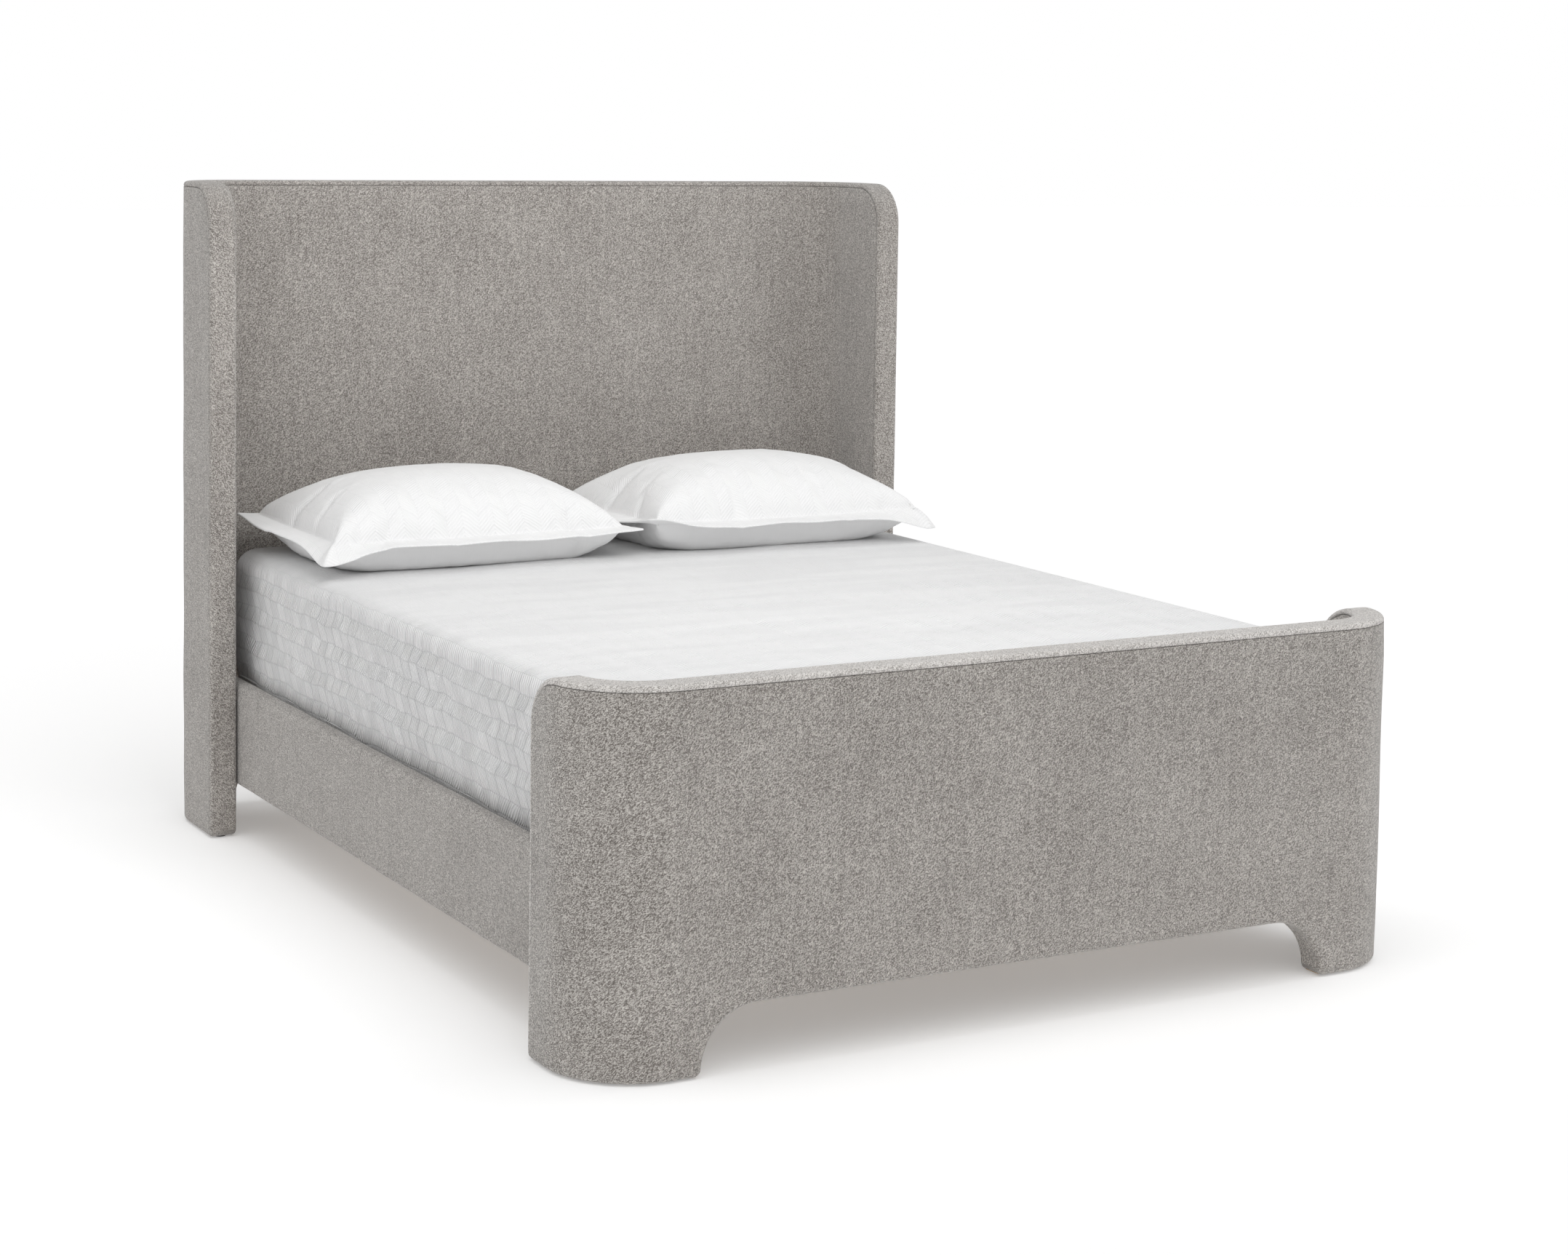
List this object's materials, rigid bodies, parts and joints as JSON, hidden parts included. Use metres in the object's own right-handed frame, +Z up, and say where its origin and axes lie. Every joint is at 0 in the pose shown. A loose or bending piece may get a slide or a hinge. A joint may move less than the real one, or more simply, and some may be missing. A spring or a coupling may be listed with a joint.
{
  "type": "sleigh bed",
  "caption": "Queen bed with an upholstered winged headboard and low winged footboard, padded side rails, slats, mattress, quilted coverlet and two pillows.",
  "frame": {"origin": "on the floor under the middle of the bed, at the middle of its length and width", "axes": "+Y towards the headboard, +X to the right for someone standing at the foot and looking at the headboard, +Z up"},
  "size_m": [1.74, 2.236, 1.436],
  "materials": {
    "upholstery": "nubby warm grey chenille",
    "foam": "open-cell foam",
    "plywood": "raw plywood",
    "pine": "planed pine",
    "zinc_steel": "zinc plated",
    "black_steel": "satin black powder coat",
    "nylon": "moulded nylon",
    "webbing": "woven tape",
    "mattress_ticking": "quilted ticking",
    "white_quilting": "white cotton matelasse",
    "pillow_ticking": "plain cotton"
  },
  "bodies": {
    "bed_frame": {"headboard_cover": "upholstery", "headboard_foam": "foam", "headboard_back_skin": "plywood", "headboard_front_skin": "plywood", "headboard_left_post": "pine", "headboard_right_post": "pine", "headboard_studs": "pine", "headboard_rib_1": "plywood", "headboard_rib_2": "plywood", "headboard_rib_3": "plywood", "headboard_rib_4": "plywood", "headboard_foot_plates": "plywood", "headboard_glides": "nylon", "headboard_rail_blocks": "pine", "headboard_slot_plates": "zinc_steel", "footboard_cover": "upholstery", "footboard_top_band": "upholstery", "footboard_foam": "foam", "footboard_front_skin": "plywood", "footboard_back_skin": "plywood", "footboard_left_post": "pine", "footboard_right_post": "pine", "footboard_studs": "pine", "footboard_rib_1": "plywood", "footboard_rib_2": "plywood", "footboard_rib_3": "plywood", "footboard_foot_plates": "plywood", "footboard_glides": "nylon", "footboard_rail_blocks": "pine", "footboard_slot_plates": "zinc_steel", "left_rail_board": "pine", "right_rail_board": "pine", "left_rail_foam": "foam", "right_rail_foam": "foam", "left_rail_cover": "upholstery", "right_rail_cover": "upholstery", "left_rail_cleat": "pine", "right_rail_cleat": "pine", "left_rail_hooks": "zinc_steel", "right_rail_hooks": "zinc_steel", "rail_bolts": "zinc_steel", "plate_screws": "zinc_steel", "cleat_screws": "zinc_steel", "slat_screws": "zinc_steel", "center_beam": "black_steel", "beam_bracket_head": "zinc_steel", "beam_bracket_foot": "zinc_steel", "center_leg_1": "pine", "center_leg_2": "pine", "slats": "pine", "slat_straps": "webbing"},
    "mattress_unit": {"mattress": "mattress_ticking", "coverlet": "white_quilting"},
    "left_pillow_unit": {"left_pillow": "pillow_ticking", "left_sham": "white_quilting"},
    "right_pillow_unit": {"right_pillow": "pillow_ticking", "right_sham": "white_quilting"},
    "leveller_foot_1": {"leveller_1": "black_steel"},
    "leveller_foot_2": {"leveller_2": "black_steel"}
  },
  "joints": [
    {"name": "mattress_lift", "type": "slide", "parent": "bed_frame", "child": "mattress_unit", "axis": [0, 0, 1], "range_m": [0, 0.4]},
    {"name": "left_pillow_lift", "type": "slide", "parent": "mattress_unit", "child": "left_pillow_unit", "axis": [0, 0, 1], "range_m": [0, 0.3]},
    {"name": "right_pillow_lift", "type": "slide", "parent": "mattress_unit", "child": "right_pillow_unit", "axis": [0, 0, 1], "range_m": [0, 0.3]},
    {"name": "leveller_1_screw", "type": "slide", "parent": "bed_frame", "child": "leveller_foot_1", "axis": [0, 0, -1], "range_m": [0, 0.014]},
    {"name": "leveller_2_screw", "type": "slide", "parent": "bed_frame", "child": "leveller_foot_2", "axis": [0, 0, -1], "range_m": [0, 0.014]}
  ]
}
